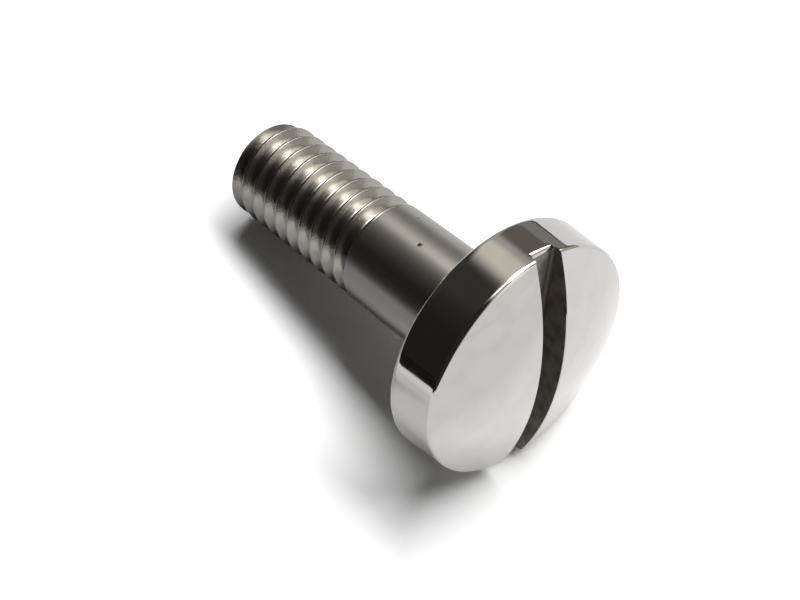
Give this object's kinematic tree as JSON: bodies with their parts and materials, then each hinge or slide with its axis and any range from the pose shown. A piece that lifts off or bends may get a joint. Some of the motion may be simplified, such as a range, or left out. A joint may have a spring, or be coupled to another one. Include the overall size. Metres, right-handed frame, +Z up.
{
  "type": "slotted oval head screw",
  "caption": "Slotted machine screw with a round head, slightly tapered rim and domed face, a plain shank and a metric thread with a chamfered end; clamps a part through a clearance hole.",
  "frame": {"origin": "on the floor, under the middle of the lying screw's bounding box", "axes": "+Z up, +X along the screw from its tip to its head as seen from above; the screw's own axis rises about 11.8 degrees towards the head"},
  "size_m": [0.0228, 0.0132, 0.0132],
  "materials": {
    "polished_steel": "mirror-polished head, satin turned shank and thread"
  },
  "bodies": {
    "root": {"screw": "polished_steel"}
  },
  "joints": []
}
